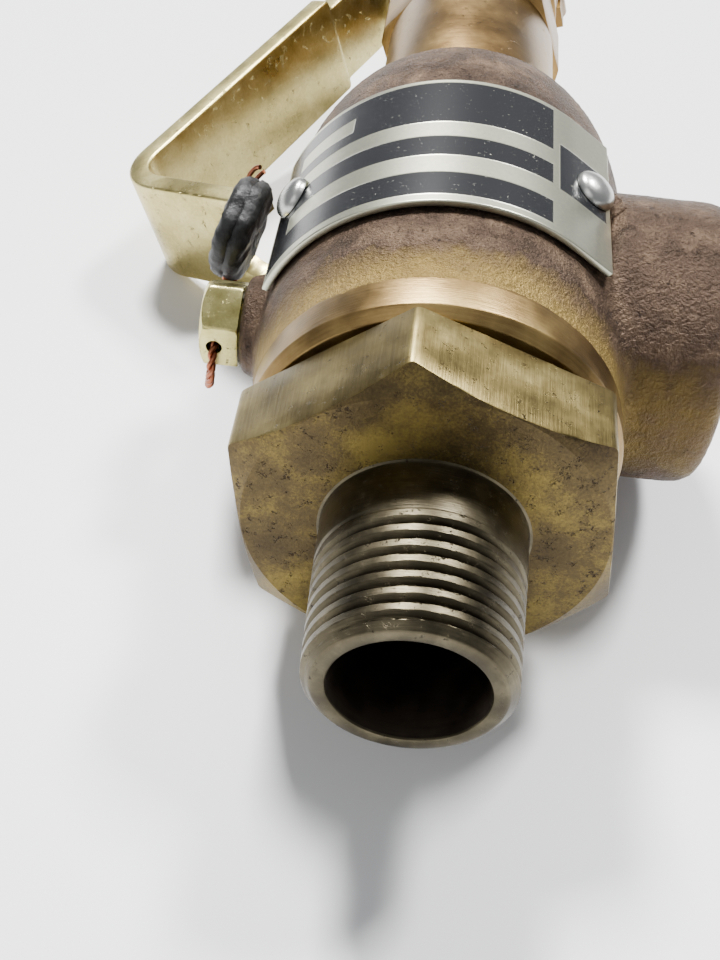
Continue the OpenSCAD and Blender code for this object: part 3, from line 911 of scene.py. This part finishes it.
@dataclass
class Casting:
    """Sand-cast body: blended outlet boss, pin boss, turned band and hollow inside."""

    radius: float = 21.45
    neck: float = 13.45
    neck_y: float = 91.0
    outlet: float = 16.75
    outlet_y: float = 55.0
    reach: float = 31.55
    voxel: float = 0.42

    def grain(self, spot: Vector) -> float:
        """Height of the sand grain at a point in millimetres."""
        rough = noise.fractal(spot * 1.5, 0.8, 2.1, 3) * 0.06
        return rough + noise.noise(spot * 0.22) * 0.07 - 0.06

    def under_plate(self, plate: Nameplate, spot: Vector) -> Vector:
        """Presses a point of the casting down below the nameplate, if it lies under it."""
        beside = not plate.low - 0.5 < spot.y < plate.low + plate.width + 0.5
        if beside or spot.z < 0 and spot.x > 0:
            return spot
        bend, rest = math.radians(plate.bend), plate.inner - 0.15
        clock, radius = math.atan2(spot.x, spot.z), math.hypot(spot.x, spot.z)
        if math.radians(plate.left - 2) < clock <= bend:
            return clocked(min(radius, rest), spot.y, clock)
        along = Vector((math.cos(bend), 0, -math.sin(bend)))
        outward = Vector((math.sin(bend), 0, math.cos(bend)))
        if clock > bend and 0 <= spot.dot(along) < plate.flat + 0.5:
            return spot + outward * min(0.0, rest - spot.dot(outward))
        return spot

    def shell(self) -> Piece:
        """Outside of the casting, with its bosses blended in.

        Returns:
            The closed shell.
        """
        wide, tall = self.radius - self.neck, self.neck_y - 72
        turns = [t * math.pi / 24 for t in range(13)]
        dome = [(self.neck + wide * math.cos(t), 72 + tall * math.sin(t)) for t in turns]
        rows = [
            (self.radius - 1.02, 34.2), (self.radius - 0.98, 36.8), (self.radius - 0.6, 39.0),
            (self.radius - 0.12, 41.0), (self.radius, 43.0),
        ]
        rows += [(self.radius, 43.0 + 2.9 * k) for k in range(1, 10)] + dome
        base = from_bmesh("cast_body", lathe(rows, 160, closed=False))
        out = sideways(self.outlet_y, True)
        rim = [
            (self.outlet, 0.0), (self.outlet, self.reach - 2.2),
            (self.outlet - 0.35, self.reach - 1.0), (self.outlet - 1.1, self.reach - 0.2),
            (self.outlet - 2.2, self.reach),
        ]
        other = sideways(PIN_Y, False)
        pin_boss = [(6.1, 0.0), (6.1, 22.7), (5.4, 23.5)]
        boolean(base, lathe(rim, 128, closed=False), out, "UNION")
        boolean(base, lathe(pin_boss, 64, closed=False), other, "UNION")
        inside = lathe(
            [
                (16.05, 33.0), (16.05, 41.2), (17.6, 41.2), (17.6, 66.0), (14.55, 66.0),
                (14.55, 74.0), (11.55, 74.0), (11.55, 95.0),
            ],
            96, closed=False,
        )
        boolean(base, inside)
        port = lathe(
            [
                (10.5, 8.0), (10.5, 14.5), (11.7, 15.0), (11.7, 30.0), (13.6, self.reach + 0.2),
                (13.6, self.reach + 4),
            ],
            96, closed=False,
        )
        boolean(base, port, out)
        remesh = base.modifiers.new("even", "REMESH")
        remesh.mode = "VOXEL"
        remesh.voxel_size = self.voxel * MM
        bake(base)
        smooth = base.modifiers.new("blend", "SMOOTH")
        smooth.factor = 0.5
        smooth.iterations = 26
        bake(base)
        return base

    def band(self) -> Shape:
        """Turned band next to the hexagon."""
        r = self.radius - 1.05
        profile = [
            (16.1, 30.3), (r - 1.1, 30.3), (r, 31.4), (r, 35.6), (r - 0.25, 36.4), (16.1, 36.4)
        ]
        return turned(profile, 0.2, 192)

    def build(self, shop: Shop) -> None:
        """Builds and places the casting and its turned band."""
        body = self.shell()
        plate = Nameplate()
        # Normals are read before any point moves: each move makes Blender work them all out anew.
        normals = [vert.normal.copy() for vert in body.data.vertices]
        for vert, normal in zip(body.data.vertices, normals):
            spot = vert.co / MM
            vert.co = self.under_plate(plate, spot + normal * self.grain(spot)) * MM
        body.data.shade_smooth()
        body.data.set_sharp_from_angle(angle=math.radians(50))
        shop.place(body, shop.looks.cast, "valve_body")
        shop.make("turned_band", self.band(), shop.looks.band, "valve_body")


@dataclass
class Nameplate:
    """Thin curved plate: it follows the body, then runs straight to its right end."""

    outer: float = 22.5
    inner: float = 21.7
    low: float = 45.9
    width: float = 25.1
    left: float = -68.9
    bend: float = 34.5
    flat: float = 5.2

    def across(self, radius: float, place: float, y: float) -> Vector:
        """Position on the plate.

        Args:
            radius: radius of the face in the curved part.
            place: arc length from the bend in millimetres at the outer face, positive past it.
            y: height.

        Returns:
            The position in millimetres.
        """
        bend = math.radians(self.bend)
        if place <= 0:
            return clocked(radius, y, bend + place / self.outer)
        start = clocked(radius, y, bend)
        return start + Vector((math.cos(bend), 0, -math.sin(bend))) * place

    def sheet(self, inner: float, outer: float, grow: float, fine: int) -> Shape:
        """Builds the plate as a thin box that follows the body.

        Args:
            inner: radius of the inside face.
            outer: radius of the outside face.
            grow: extra size past each edge.
            fine: subdivisions per 0.5 mm.

        Returns:
            The mesh in millimetres.
        """
        start = -math.radians(self.bend - self.left) * self.outer - grow
        end = self.flat + grow
        columns = int((end - start) * 2 * fine)
        rows = int((self.width + 2 * grow) * 2 * fine)
        shape = bmesh.new()
        sides: list[list[list[bmesh.types.BMVert]]] = []
        for radius in (inner, outer):
            sides.append([])
            for i in range(columns + 1):
                place = start + (end - start) * i / columns
                ups = [
                    self.low - grow + (self.width + 2 * grow) * j / rows for j in range(rows + 1)
                ]
                sides[-1].append([shape.verts.new(self.across(radius, place, y)) for y in ups])
        for grid in sides:
            for i in range(columns):
                for j in range(rows):
                    shape.faces.new(
                        (grid[i][j], grid[i + 1][j], grid[i + 1][j + 1], grid[i][j + 1])
                    )
        low, high = sides
        for j in range(rows):
            for i in (0, columns):
                shape.faces.new((low[i][j], low[i][j + 1], high[i][j + 1], high[i][j]))
        for i in range(columns):
            for j in (0, rows):
                shape.faces.new((low[i][j], low[i + 1][j], high[i + 1][j], high[i][j]))
        return shape

    def enamel(self, place: float, y: float) -> float:
        """Share of dark enamel at a place on the plate.

        Args:
            place: arc length from the bend in millimetres.
            y: height in millimetres.

        Returns:
            1 on enamel, 0 on bare metal.
        """
        up = y - self.low
        left = -math.radians(self.bend - self.left) * self.outer
        if up < 1.2 or up > self.width - 0.8 or place > self.flat - 0.7 or place < left + 0.7:
            return 0.0
        if place > -2.6:
            return 1.0 if 8.4 < up < 17.6 else 0.0
        if place > -3.4:
            return 0.0
        if place < left + 4.2:
            return 1.0
        for low, high in ((5.4, 8.8), (12.6, 15.6)):
            if low < up < high:
                return 0.0
        if 18.0 < up < 21.0 and place < left + 13.0:
            return 0.0
        return 1.0

    def enamel_at(self, spot: Vector) -> float:
        """Share of dark enamel at a point of the plate."""
        bend = math.radians(self.bend)
        place = (math.atan2(spot.x, spot.z) - bend) * self.outer
        if place > 0:
            along = Vector((math.cos(bend), 0, -math.sin(bend)))
            place = (spot - clocked(self.outer, spot.y, bend)).dot(along)
        return self.enamel(place, spot.y)

    def build(self, shop: Shop) -> None:
        """Builds and places the plate and its rivets."""
        plate = from_bmesh("nameplate", self.sheet(self.inner, self.outer, 0.0, 3))
        paint(plate, "enamel", self.enamel_at)
        shop.place(plate, shop.plate, "nameplate")
        soften(plate, 0.18, 50)
        for side, (clock, shift) in (("left", (-58.5, 0.0)), ("right", (34.5, 2.6))):
            profile = stairs(0.01, 18.6, 1.2, 22.56, 2.62, 22.72)
            turns = [t * math.pi / 16 for t in range(8)]
            profile += [(2.6 * math.cos(t), 22.8 + 1.35 * math.sin(t)) for t in turns]
            turn = Matrix.Rotation(math.radians(clock), 4, "Y")
            turn = turn @ Matrix.Translation((shift, 58.8, 0)) @ upright()
            shape = lathe(profile + [(0.01, 24.15)], 64)
            shop.make(f"rivet_{side}", shape, shop.looks.rivet, "rivets", turn=turn, angle=60)


@dataclass
class PinAndSeal:
    """Locking pin of the ring, its twisted wire and the crushed seal."""

    face: float = 23.6
    head: float = 4.5
    flats: float = 9.3
    strand: float = 0.3
    twist: float = 2.1
    seal_radius: float = 6.45
    seal_half: float = 2.2

    def build(self, shop: Shop) -> None:
        """Builds and places the pin, the wire and the seal."""
        out = sideways(PIN_Y, False)
        shape = hexagon(
            self.flats, 0.0, self.face, self.face + self.head, 0.02, (0.0, 0.7), corner=0.25,
            limit=5.3, around=144,
        )
        pin = from_bmesh("ring_pin_head", shape, out)
        hole = lathe([(0.95, PIN_Y - 8), (0.95, PIN_Y + 8)], 32, closed=False)
        boolean(pin, hole, Matrix.Translation((-26.3, 0, 0)))
        pin.data.shade_smooth()
        pin.data.set_sharp_from_angle(angle=math.radians(30))
        shop.place(pin, shop.looks.bright, "ring_pin")
        profile = [
            (0.02, 12.3), (0.85, 12.3), (0.85, 16.4), (3.05, 16.8), (3.05, 24.0), (0.02, 24.0)
        ]
        shank = turned(profile, 0.15, 48)
        shop.make("ring_pin_shank", shank, shop.looks.bright, "ring_pin", turn=out)
        spots = (
            (-26.0, 60.5, 1.5), (-26.6, 57.2, -1.2), (-26.5, 55.0, -0.4), (-26.3, 52.5, 0),
            (-26.3, 49.2, 0), (-26.3, 45.6, 0), (-26.35, 43.9, -0.5), (-26.4, 43.1, -1.9),
            (-26.6, 43.2, -3.8), (-26.9, 44.2, -5.6), (-27.2, 46.0, -6.5), (-27.5, 48.6, -6.7),
            (-27.9, 51.2, -6.3), (-28.3, 53.6, -5.0), (-28.2, 55.3, -3.2), (-27.4, 57.2, -1.0),
            (-26.8, 60.0, 1.6),
        )
        route = [Vector(spot) for spot in spots]
        for strand in range(2):
            wire = tube_curve(
                f"seal_wire_{strand + 1}", self.twisted(route, strand * math.pi), self.strand
            )
            shop.place(wire, shop.looks.copper, "seal_wire")
        tails = (
            ((-26.3, 66.0, 7.4), (-26.2, 67.6, 8.6), (-25.3, 68.0, 9.6), (-24.6, 67.4, 9.9)),
            ((-25.9, 66.2, 6.6), (-25.6, 67.9, 7.4), (-24.8, 68.4, 8.2), (-24.2, 68.2, 8.8)),
        )
        for end, tail in enumerate(tails):
            wire = tube_curve(f"seal_wire_tail_{end + 1}", tail, self.strand)
            shop.place(wire, shop.looks.copper, "seal_wire")
        shop.place(self.seal(), shop.looks.lead, "lead_seal")

    def twisted(self, route: Sequence[Vector], phase: float) -> list[Point]:
        """Winds one strand round a route.

        Args:
            route: centre line in millimetres.
            phase: starting angle of the strand in radians.

        Returns:
            Points of the strand.
        """
        points: list[Point] = []
        travelled = 0.0
        side = Vector((1, 0, 0))
        for a, b in zip(route, route[1:]):
            steps = max(2, int((b - a).length / 0.3))
            ahead = (b - a).normalized()
            side = (side - ahead * side.dot(ahead)).normalized()
            up = ahead.cross(side)
            for k in range(steps):
                spot = a.lerp(b, k / steps)
                angle = phase + (travelled + (b - a).length * k / steps) * self.twist
                spot = spot + (side * math.cos(angle) + up * math.sin(angle)) * 0.29
                points.append((spot.x, spot.y, spot.z))
            travelled += (b - a).length
        return points

    def seal(self) -> Piece:
        """The crushed seal: an uneven disc with a waist and tool grooves."""
        half = self.seal_half

        def outline(squash: float) -> Radius:
            """Uneven rim, pulled in where the tool closed."""

            def radius(clock: float) -> float:
                """Radius at one angle."""
                dent = 0.55 * math.exp(-(((clock - 1.1) / 0.3) ** 2))
                dent = dent + 0.4 * math.exp(-(((clock - 4.0) / 0.4) ** 2))
                return self.seal_radius * squash * (1 + 0.02 * math.sin(3 * clock)) - dent

            return radius

        rows: list[tuple[float | Radius, float]] = [(0.02, -half)]
        levels = (
            (0.3, -1.0), (0.6, -1.0), (0.8, -0.98), (0.92, -0.85), (0.98, -0.6), (0.99, -0.2),
            (0.95, 0.0), (0.99, 0.2), (0.98, 0.6), (0.92, 0.85), (0.8, 0.98), (0.6, 1.0),
            (0.3, 1.0),
        )
        rows += [(outline(share), half * level) for share, level in levels]
        rows.append((0.02, half))
        shape = lathe(rows, 96)
        for vert in shape.verts:
            groove = math.cos(vert.co.x * 1.9) * 0.18 + math.cos(vert.co.z * 1.3 + 0.5) * 0.1
            sunk = max(0.0, groove) + 0.25 * abs(noise.noise(vert.co * 0.5))
            vert.co.y -= math.copysign(sunk, vert.co.y)
            near, far = vert.co * 0.6, vert.co * 0.6 + Vector((9, 0, 0))
            vert.co += Vector((noise.noise(near), 0, noise.noise(far))) * 0.25
        turn = Matrix.Translation((-26.1, 62.0, 4.3)) @ Matrix.Rotation(math.radians(-10), 4, "Z")
        turn = turn @ Matrix.Rotation(math.radians(-78.5), 4, "Y") @ upright()
        return from_bmesh("lead_seal", shape, turn, angle=60)


@dataclass
class Trim:
    """Parts inside the body and the bonnet, seen through the outlet or not at all."""

    coil: float = 6.5
    wire: float = 1.05
    turns: int = 9
    low: float = 83.5
    high: float = 125.5
    lift: float = 2.3
    rim: float = 13.15
    notch_floor: float = 11.9
    notches: int = 24
    notch_share: float = 0.14

    def build(self, shop: Shop) -> None:
        """Builds and places the inner parts."""
        looks = shop.looks
        ring = lathe(
            [(9.6, 44.6), (self.notched, 44.6), (self.notched, 51.9), (12.3, 52.6), (9.6, 52.6)],
            288,
        )
        shop.make("blowdown_ring", ring, looks.inner, "blowdown_ring")
        parts: tuple[tuple[str, Row, Metal, Body], ...] = (
            ("disc_insert", stairs(0.02, 52.05, 7.15, 54.55, 0.02), looks.seat, Body.STEM),
            (
                "disc_holder",
                [
                    (7.25, 53.0), (10.4, 53.0), (10.4, 55.0), (8.95, 56.0), (8.95, 74.0),
                    (3.3, 74.0), (3.3, 64.0), (0.02, 64.0), (0.02, 54.6), (7.25, 54.6),
                ],
                looks.inner, Body.STEM,
            ),
            ("disc_guide", stairs(9.05, 66.2, 14.45, 73.8, 9.05), looks.inner, Body.VALVE),
            (
                "stem",
                [
                    (0.02, 64.05), (3.1, 64.05), (3.1, 78.0), (4.55, 78.0), (4.55, 80.0),
                    (3.1, 80.0), (3.1, 159.2), (2.35, 160.0), (0.02, 160.0),
                ],
                looks.steel, Body.STEM,
            ),
            (
                "lower_spring_washer", stairs(3.25, 80.0, 8.15, 83.5, 4.85, 85.9, 3.25),
                looks.steel, Body.STEM,
            ),
            (
                "upper_spring_washer",
                [
                    (3.25, 129.0), (3.25, 123.1), (4.85, 123.1), (4.85, 125.5), (8.15, 125.5),
                    (8.15, 129.0),
                ],
                looks.steel, Body.VALVE,
            ),
            ("compression_screw", stairs(3.25, 129.05, 7.95, 141.0, 3.25), looks.inner, Body.VALVE),
        )
        for name, profile, look, body in parts:
            shop.make(name, turned(profile, 0.25, 96), look, name, body=body)
        points = []
        steps = 24 * self.turns
        for i in range(steps + 1):
            share = i / steps
            edge = 1 / self.turns
            if share < edge:
                rise = share / 2
            elif share > 1 - edge:
                rise = 1 - (1 - share) / 2
            else:
                rise = 0.5 * edge + (share - edge) * (self.turns - 1) / (self.turns - 2)
            span = self.high - self.low - 2 * self.wire - 0.2
            height = self.low + self.wire + 0.1 + span * rise
            angle = 2 * math.pi * i / 24
            points.append((self.coil * math.cos(angle), height, self.coil * math.sin(angle)))
        spring = tube_curve("spring", points, self.wire)
        shop.place(spring, looks.wire, "spring")
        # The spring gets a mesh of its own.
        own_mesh(spring)

    def notched(self, clock: float) -> float:
        """Outline of the ring with its notches."""
        off = (clock * self.notches / (2 * math.pi) + 0.5) % 1 - 0.5
        return self.notch_floor if abs(off) < self.notch_share else self.rim


@dataclass
class BonnetAndCap:
    """Bonnet, lock nut, cap with its ears and the pivot's pin."""

    radius: float = 12.7
    shoulder: float = 119.0
    flats_end: float = 131.0
    top: float = 137.0
    skirt: float = 131.6
    cap_radius: float = 13.2
    cap_top: float = 145.0
    ears: tuple[float, float] = (6.65, 10.1)

    def build(self, shop: Shop) -> None:
        """Builds and places the bonnet's and the cap's pieces."""
        looks = shop.looks
        barrel = [
            (8.85, 78.05), (11.45, 78.05), (11.45, 91.0), (11.6, 91.1), (self.radius, 91.1),
            (self.radius, self.shoulder + 0.4), (11.4, self.shoulder + 0.4), (11.4, self.top),
            (8.1, self.top), (8.1, 129.1), (8.85, 129.1),
        ]
        shop.make("bonnet_barrel", turned(barrel, 0.2, 192), looks.satin, "bonnet")
        block = hexagon(
            2 * self.radius, 30 - HEX_CLOCK, self.shoulder, self.flats_end, 11.35, (0.35, 0.35),
            corner=0.3, limit=13.95,
        )
        shop.make("bonnet_flats", block, looks.satin, "bonnet", angle=28)
        nut = hexagon(18.95, 0.0, self.top + 0.05, self.top + 2.8, 8.1, (0.4, 0.4))
        shop.make("lock_nut", nut, looks.inner, "lock_nut")
        self.cap(shop)
        self.pins(shop)

    def cap(self, shop: Shop) -> None:
        """Builds and places the cap and its set screw."""
        r = self.cap_radius
        profile = [
            (11.5, self.skirt), (r - 0.5, self.skirt), (r - 0.02, self.skirt + 0.6),
            (r - 0.02, 140.8), (r + 0.45, 141.5), (r + 0.45, self.cap_top - 0.7),
            (r - 0.2, self.cap_top), (4.2, self.cap_top), (4.2, 141.5), (11.5, 141.5),
        ]
        body = from_bmesh("cap", turned(profile, 0.25, 160), lever_turn())
        x, y = PIVOT
        for sign in (-1, 1):
            low, high = self.ears
            corners = [(x - 3.98, self.cap_top - 1.0), (x + 3.55, self.cap_top - 1.0)]
            turns = [math.radians(a) for a in range(-30, 211, 10)]
            corners += [(x + 4.15 * math.cos(t), y + 4.15 * math.sin(t)) for t in turns]
            ear = prism(corners, sign * (low + 0.02), sign * (high - 0.02))
            boolean(body, ear, lever_turn(), "UNION")
        bore = lathe([(2.05, -20.0), (2.05, 20.0)], 48, closed=False)
        boolean(body, bore, cap_place(x, y))
        tapped = lathe([(1.55, 10.0), (1.55, 20.0)], 32, closed=False)
        screw_place = cap_place(0, self.skirt + 2.8)
        boolean(body, tapped, screw_place)
        soften(body, 0.2, 40)
        shop.place(body, shop.looks.satin, "cap")
        screw = turned(stairs(0.02, 11.62, 1.45, 13.05, 0.02), 0.15, 48)
        shop.make("cap_set_screw", screw, shop.looks.wire, "cap_set_screw", turn=screw_place)

    def pins(self, shop: Shop) -> None:
        """Builds and places the pivot pin, its clip and the nuts on the stem."""
        looks = shop.looks
        x, y = PIVOT
        end = self.ears[1]
        pin = stairs(
            0.02, -end - 1.55, 3.25, -end - 0.1, 1.98, end + 0.2, 1.5, end + 1.0, 1.98, end + 1.95,
            0.02,
        )
        shop.make(
            "lever_pin", turned(pin, 0.15, 64), looks.steel, "lever_pin", turn=cap_place(x, y)
        )
        arc = [math.radians(25 + 310 * k / 30) for k in range(31)]
        outline = [(3.55 * math.cos(a), 3.55 * math.sin(a)) for a in arc]
        outline += [(1.56 * math.cos(a), 1.56 * math.sin(a)) for a in reversed(arc)]
        clip = prism(outline, end + 0.27, end + 0.93)
        made = from_bmesh("pin_clip", clip, lever_turn() @ Matrix.Translation((x, y, 0)))
        soften(made, 0.1)
        shop.place(made, looks.wire, "pin_clip")
        for name, low, high in (("lift_nut", 150.0, 154.2), ("lift_jam_nut", 154.3, 156.9)):
            nut = hexagon(9.95, 0.0, low, high, 3.2, (0.45, 0.45), corner=0.2, around=144)
            shop.make(name, nut, looks.steel, name, turn=lever_turn(), body=Body.STEM)


@dataclass
class Lever:
    """Bent strap: notched foot, handle, narrow neck and the flat over the cap with its eye."""

    thick: float = 3.175
    wide: float = 15.9
    narrow: float = 12.7
    slope: float = 27.7
    corner: tuple[float, float] = (-49.9, 86.9)
    foot: float = 28.0
    bend: float = 8.0
    top_bend: float = 6.5
    shoulder: float = 52.7
    underside: float = 146.2
    notch: float = 5.2
    steps: int = 14

    def spine(self) -> list[tuple[Vector, Vector, float]]:
        """Outer edge of the strap's side view.

        Returns:
            For each station the outer point, the inward normal and the width.
        """
        a = math.radians(self.slope)
        along, inward = Vector((math.sin(a), math.cos(a))), Vector((math.cos(a), -math.sin(a)))
        at = Vector(self.corner)
        out: list[tuple[Vector, Vector, float]] = []
        for t in (self.foot, self.foot - 0.05, 18.0, 12.0, self.bend + 0.01):
            out.append((at + inward * t, along, self.wide))
        centre = at + inward * self.bend + along * self.bend
        for k in range(self.steps + 1):
            turn = math.pi / 2 * k / self.steps
            normal = along * math.cos(turn) + inward * math.sin(turn)
            out.append((centre - normal * self.bend, normal, self.wide))
        top_y = self.underside + self.thick
        length = (top_y - at.y) / math.cos(a)
        tangent = self.top_bend * math.tan((math.pi / 2 - a) / 2)
        stations = [(t, self.wide) for t in (14.0, 22.0, 30.0, 38.0, 46.0, self.shoulder - 0.6)]
        stations += [
            (self.shoulder - 0.2, self.wide - 0.25), (self.shoulder, self.wide - 1.0),
            (self.shoulder + 0.05, self.narrow + 0.6), (self.shoulder + 0.35, self.narrow + 0.1),
            (self.shoulder + 0.9, self.narrow), (length - tangent - 0.1, self.narrow),
        ]
        out += [(at + along * t, inward, w) for t, w in stations]
        start = Vector((at.x + (top_y - at.y) * math.tan(a) + tangent, top_y))
        middle = start + Vector((0, -self.top_bend))
        for k in range(self.steps + 1):
            turn = math.radians(152.3) + (math.pi / 2 - math.radians(152.3)) * k / self.steps
            normal = Vector((-math.cos(turn), -math.sin(turn)))
            out.append((middle - normal * self.top_bend, normal, self.narrow))
        for x in (-8.0, -2.0, 4.0, PIVOT[0] - 1.0):
            out.append((Vector((x, top_y)), Vector((0, -1)), self.narrow))
        return out

    def strap(self) -> Piece:
        """Sweeps a rounded bar section along the spine.

        Returns:
            The strap, without its notch and its slot.
        """
        edge = 0.42
        shape = bmesh.new()
        rings = []
        for point, normal, width in self.spine():
            ring = []
            half, deep = width / 2, self.thick
            for cu, cz, first in (
                (deep - edge, half - edge, 0), (edge, half - edge, 90), (edge, -half + edge, 180),
                (deep - edge, -half + edge, 270),
            ):
                for k in range(4):
                    b = math.radians(first + 30 * k)
                    depth, side = cu + edge * math.cos(b), cz + edge * math.sin(b)
                    spot = point + normal * depth
                    ring.append(shape.verts.new((spot.x, spot.y, side)))
            rings.append(ring)
        for one, two in zip(rings, rings[1:]):
            bridge(shape, one, two)
        shape.faces.new(rings[0])
        shape.faces.new(rings[-1])
        return from_bmesh("lever", shape)

    def build(self, shop: Shop) -> None:
        """Builds and places the lever."""
        strap = self.strap()
        x, y = PIVOT
        eye = turned(stairs(2.08, -self.narrow / 2, 4.15, self.narrow / 2, 2.08), 0.3, 96)
        hole = lathe([(2.08, -10.0), (2.08, 10.0)], 64, closed=False)
        here = Matrix.Translation((x, y, 0)) @ upright()
        boolean(strap, eye, here, "UNION")
        boolean(strap, hole, here)
        turns = [math.radians(a) for a in range(0, 181, 9)]
        ends = [(0.4 + 3.7 * math.sin(t), 3.7 * math.cos(t)) for t in turns]
        ends += [(-0.9 - 3.7 * math.sin(t), -3.7 * math.cos(t)) for t in turns]
        boolean(strap, prism(ends, 142.0, 153.0, along_y=True))
        a = math.radians(self.slope)
        frame = Matrix.Translation((*self.corner, 0)) @ Matrix.Rotation(-a, 4, "Z")
        centre = self.foot - 3.4
        turns = [math.radians(b) for b in range(0, 181, 6)]
        mouth = [(centre - self.notch * math.sin(t), self.notch * math.cos(t)) for t in turns]
        mouth += [(centre + 8, -self.notch), (centre + 8, self.notch)]
        boolean(strap, prism(mouth, -2.0, self.thick + 2, along_y=True), frame)
        strap.data.transform(lever_turn())
        soften(strap, 0.25, 45)
        shop.place(strap, shop.looks.lever, "lever", body=Body.LEVER)


# ---- the studio ----


@dataclass
class Studio:
    """Pale table, soft lights and the camera."""

    floor_z: float = -22.2
    camera_at: Point = (-3.0, -68.13, 98.32)
    right: Point = (0.9926, 0.1062, 0.0589)
    up: Point = (-0.1174, 0.7143, 0.6899)
    lens: float = 48.39

    def floor(self) -> None:
        """Lays the table."""
        shape = bmesh.new()
        bmesh.ops.create_grid(shape, x_segments=8, y_segments=8, size=1500)
        table = from_bmesh("table", shape, Matrix.Translation((0, 0, self.floor_z)))
        made, _, shader = start_material("matt white laminate")
        # Pale and half matt, so that it shows soft shadows and no reflections.
        shader.inputs["Base Color"].default_value = linear("#f6f6f6")
        shader.inputs["Roughness"].default_value = 0.45
        table.data.materials.append(made)

    def light(
        self, name: str, at: Point, aim: Point, size: float, power: float, tint: str = "#ffffff"
    ) -> None:
        """Adds a soft square light.

        Args:
            name: name of the light.
            at: position in metres.
            aim: point it faces in metres.
            size: side in metres.
            power: power in watts.
            tint: sRGB hex colour.
        """
        data = bpy.data.lights.new(name, "AREA")
        data.shape = "SQUARE"
        data.size = size
        data.energy = power
        data.color = linear(tint)[:3]
        lamp = bpy.data.objects.new(name, data)
        lamp.location = at
        lamp.rotation_euler = (Vector(aim) - Vector(at)).to_track_quat("-Z", "Y").to_euler()
        bpy.context.scene.collection.objects.link(lamp)

    def build(self) -> None:
        """Sets the table, the lights, the sky and the camera."""
        self.floor()
        aim = (0.0, 0.05, 0.0)
        self.light("lamp_back_left", (-0.35, 0.95, 1.25), aim, 0.28, 62.0)
        self.light("lamp_back_right", (0.55, 0.8, 1.3), aim, 0.28, 40.0)
        self.light("lamp_front", (-0.5, -0.9, 0.9), aim, 0.9, 4.0)
        world = bpy.data.worlds.new("room")
        world.use_nodes = True
        world.node_tree.nodes["Background"].inputs["Color"].default_value = linear("#eef1f6")
        world.node_tree.nodes["Background"].inputs["Strength"].default_value = 0.4
        bpy.context.scene.world = world
        data = bpy.data.cameras.new("camera")
        data.lens = self.lens
        data.sensor_width = 36.0
        data.clip_start = 0.005
        camera = bpy.data.objects.new("camera", data)
        right, up = Vector(self.right).normalized(), Vector(self.up).normalized()
        back = right.cross(up)
        turn = Matrix((right, up, back)).transposed().to_4x4()
        camera.matrix_world = Matrix.Translation(Vector(self.camera_at) * MM) @ turn
        bpy.context.scene.collection.objects.link(camera)
        bpy.context.scene.camera = camera


def main() -> None:
    """Builds the valve around the frame, piece by piece."""
    logging.basicConfig(level=logging.INFO)
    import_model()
    shop = Shop()
    InletBase().build(shop)
    Casting().build(shop)
    Nameplate().build(shop)
    PinAndSeal().build(shop)
    Trim().build(shop)
    BonnetAndCap().build(shop)
    Lever().build(shop)
    Studio().build()


if __name__ == "__main__":
    main()
